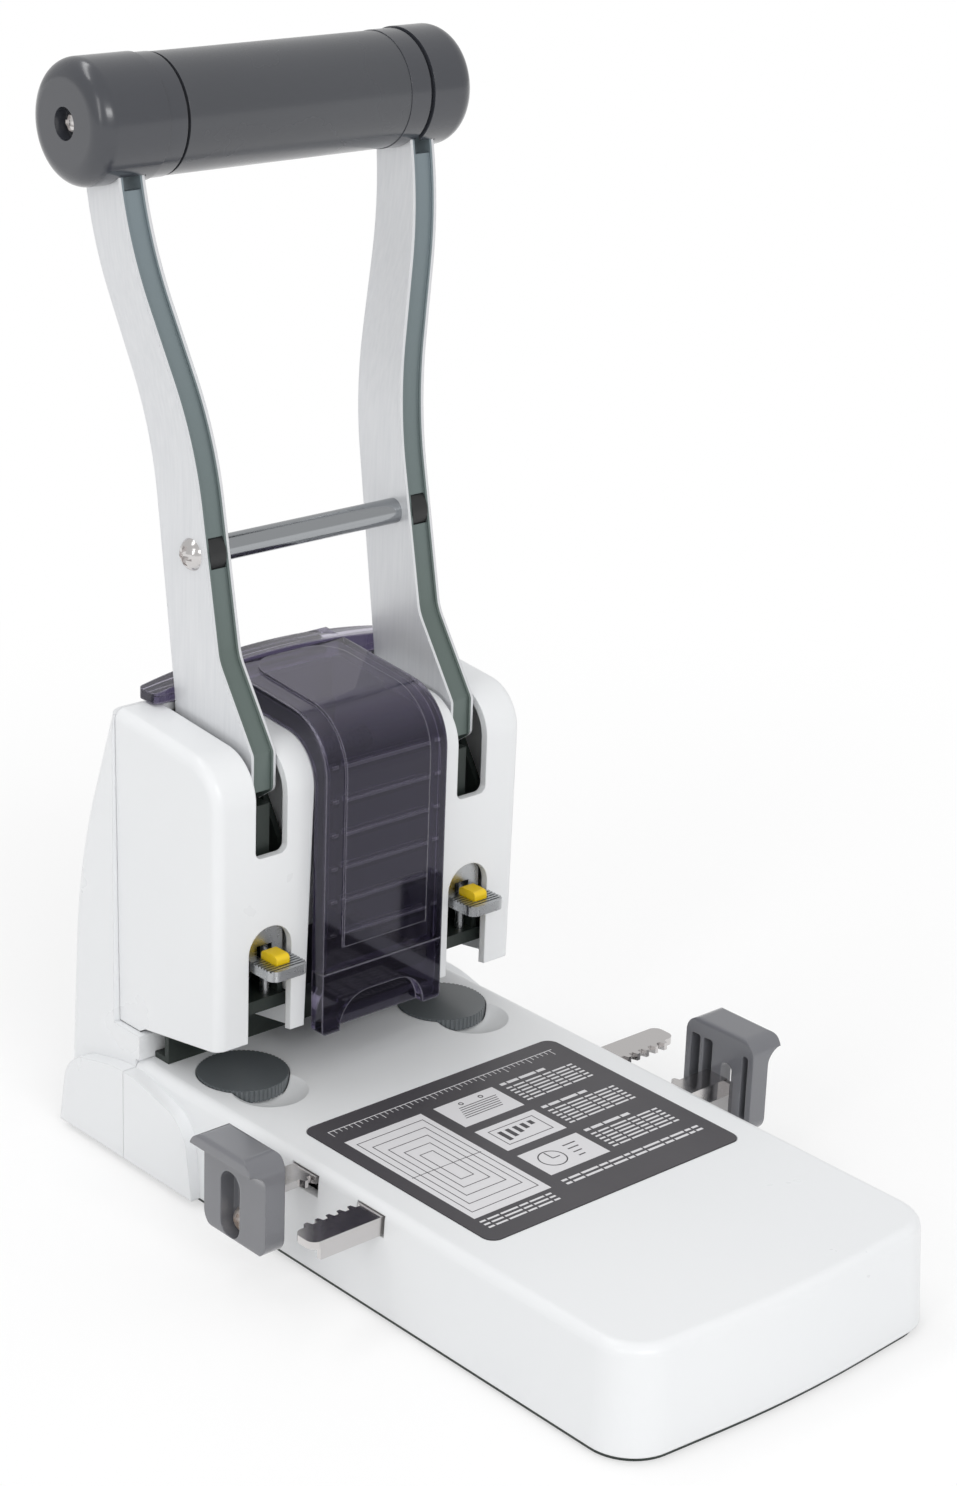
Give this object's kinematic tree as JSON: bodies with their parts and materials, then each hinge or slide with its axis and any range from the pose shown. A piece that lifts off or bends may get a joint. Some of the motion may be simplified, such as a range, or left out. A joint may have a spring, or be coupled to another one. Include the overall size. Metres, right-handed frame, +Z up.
{
  "type": "two-hole punch",
  "caption": "Tall manual hole punch: a long lever with a bar grip drives a pair of cutters in white column covers over a wide base with sliding side stops.",
  "frame": {"origin": "under the middle of the machine's bounding box, on the surface it stands on", "axes": "+Z up, +X to the user's right along the paper's edge, +Y away from the user"},
  "size_m": [0.184, 0.2674, 0.3432],
  "materials": {
    "shell": "cool white moulded plastic, fine satin texture",
    "dark_sheet": "dark painted steel",
    "rubber": "matt black rubber",
    "steel": "plain ground steel",
    "plated": "bright nickel plating",
    "arm_silver": "silver painted steel",
    "grip": "dark grey soft grip",
    "grip_cap": "dark grey moulded plastic",
    "stop": "mid grey moulded plastic",
    "disc": "dark grey plastic",
    "smoked": "smoked translucent plastic",
    "yellow": "yellow plastic",
    "label": "printed dark grey panel, left without words",
    "black": "black plastic"
  },
  "bodies": {
    "machine": {"base_cover": "shell", "seat_pins": "steel", "bottom_plate": "dark_sheet", "rubber_feet": "rubber", "rear_shell": "shell", "cover_hinge_pin": "steel", "right_column_cover": "shell", "left_column_cover": "shell", "right_frame_plates": "dark_sheet", "left_frame_plates": "dark_sheet", "punch_deck": "dark_sheet", "guide_rods": "steel", "pivot_shaft": "steel", "pivot_bushes": "black", "paper_rest": "dark_sheet", "label_panel": "label", "frame_screws": "steel", "pinion_post": "steel", "rule_guides": "black"},
    "lever": {"right_arm": "arm_silver", "left_arm": "arm_silver", "drive_pins": "steel", "crossbar": "plated", "crossbar_spacers": "black", "crossbar_screws": "plated", "grip_core": "steel", "grip_spacers": "steel", "grip_screws": "plated", "grip_sleeve": "grip", "left_grip_ring": "grip_cap", "right_grip_ring": "grip_cap", "left_grip_cap": "grip_cap", "right_grip_cap": "grip_cap"},
    "left_carriage": {"left_punch_carriage": "dark_sheet", "left_cutter": "steel", "left_return_spring": "steel", "left_release_tab": "plated", "left_tab_spacer": "steel"},
    "left_latch_slide": {"left_latch": "yellow"},
    "left_disc": {"left_cutting_disc": "disc"},
    "right_carriage": {"right_punch_carriage": "dark_sheet", "right_cutter": "steel", "right_return_spring": "steel", "right_release_tab": "plated", "right_tab_spacer": "steel"},
    "right_latch_slide": {"right_latch": "yellow"},
    "right_disc": {"right_cutting_disc": "disc"},
    "rear_guide": {"rear_rule": "plated", "left_stop": "stop", "left_stop_screw": "plated"},
    "front_guide": {"front_rule": "plated", "right_stop": "stop", "right_stop_screw": "plated"},
    "pinion_gear": {"pinion": "black"},
    "front_cover": {"smoked_cover": "smoked", "cover_band": "smoked", "cover_grip_lip": "smoked"}
  },
  "joints": [
    {"name": "lever_hinge", "type": "hinge", "parent": "machine", "child": "lever", "pos_m": [0, 0.09, 0.125], "axis": [1, 0, 0], "range_deg": [0, 50], "stiffness_Nm_per_rad": 1.5, "springref_deg": -8.59},
    {"name": "left_punch_slide", "type": "slide", "parent": "machine", "child": "left_carriage", "axis": [0, 0, -1], "range_m": [0, 0.0212], "stiffness_N_per_m": 5, "springref_m": -0.12, "deforming": ["left_return_spring"]},
    {"name": "left_latch_push", "type": "slide", "parent": "left_carriage", "child": "left_latch_slide", "axis": [0, 1, 0], "range_m": [0, 0.003], "stiffness_N_per_m": 120, "springref_m": -0.001},
    {"name": "left_disc_turn", "type": "hinge", "parent": "machine", "child": "left_disc", "pos_m": [-0.0409, 0.0668, 0.034], "axis": [0, 0, 1], "continuous": true},
    {"name": "right_punch_slide", "type": "slide", "parent": "machine", "child": "right_carriage", "axis": [0, 0, -1], "range_m": [0, 0.0212], "stiffness_N_per_m": 5, "springref_m": -0.12, "deforming": ["right_return_spring"]},
    {"name": "right_latch_push", "type": "slide", "parent": "right_carriage", "child": "right_latch_slide", "axis": [0, 1, 0], "range_m": [0, 0.003], "stiffness_N_per_m": 120, "springref_m": -0.001},
    {"name": "right_disc_turn", "type": "hinge", "parent": "machine", "child": "right_disc", "pos_m": [0.0409, 0.0668, 0.034], "axis": [0, 0, 1], "continuous": true},
    {"name": "rear_guide_slide", "type": "slide", "parent": "machine", "child": "rear_guide", "axis": [-1, 0, 0], "range_m": [-0.014, 0.069]},
    {"name": "front_guide_slide", "type": "slide", "parent": "machine", "child": "front_guide", "axis": [1, 0, 0], "range_m": [-0.014, 0.069]},
    {"name": "pinion_turn", "type": "hinge", "parent": "machine", "child": "pinion_gear", "pos_m": [0, -0.0058, 0.031], "axis": [0, 0, 1], "range_deg": [-80, 390]},
    {"name": "front_cover_hinge", "type": "hinge", "parent": "machine", "child": "front_cover", "pos_m": [0, 0.1096, 0.1492], "axis": [-1, 0, 0], "range_deg": [0, 40]}
  ],
  "couplings": [
    {"joint": "left_punch_slide", "follows": "lever_hinge", "m_per_rad": 0.024214},
    {"joint": "right_punch_slide", "follows": "lever_hinge", "m_per_rad": 0.024214},
    {"joint": "front_guide_slide", "follows": "rear_guide_slide", "ratio": 1},
    {"joint": "pinion_turn", "follows": "rear_guide_slide", "rad_per_m": 98.175}
  ]
}
